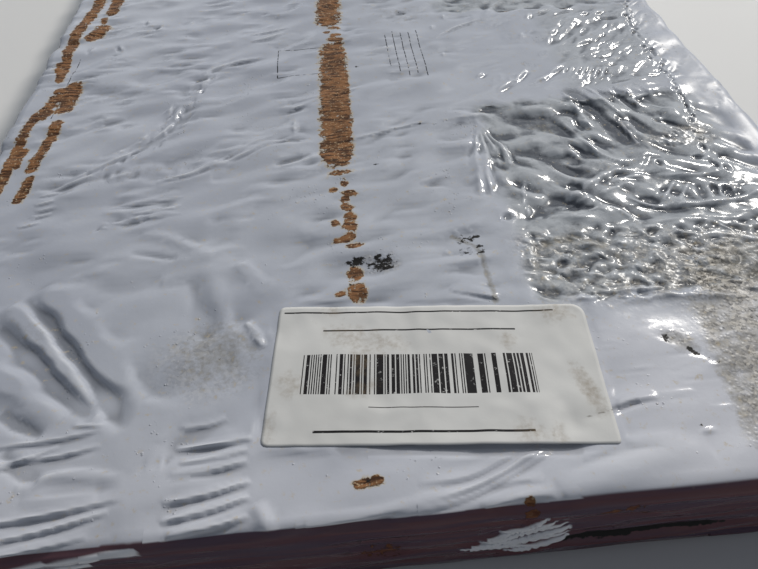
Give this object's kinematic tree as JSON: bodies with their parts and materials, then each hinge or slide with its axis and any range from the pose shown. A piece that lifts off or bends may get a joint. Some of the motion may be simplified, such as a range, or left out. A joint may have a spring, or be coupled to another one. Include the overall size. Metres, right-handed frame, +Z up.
{
  "type": "asphalt shingle bundle",
  "caption": "Flat bundle of laminated asphalt roof shingles, nested head to butt, in a lapped film wrap with a blank sticker near one end.",
  "frame": {"origin": "middle of the underside, on the floor", "axes": "+X across the shingles, towards the toothed edge of the top one; +Y along the shingles, away from the sticker; +Z up"},
  "size_m": [0.3412, 1.0068, 0.0417],
  "materials": {
    "shingle": "mineral granules",
    "film": "gloss",
    "paper": "matte"
  },
  "bodies": {
    "root": {"shingles": "shingle", "wrap": "film", "label": "paper"}
  },
  "joints": []
}
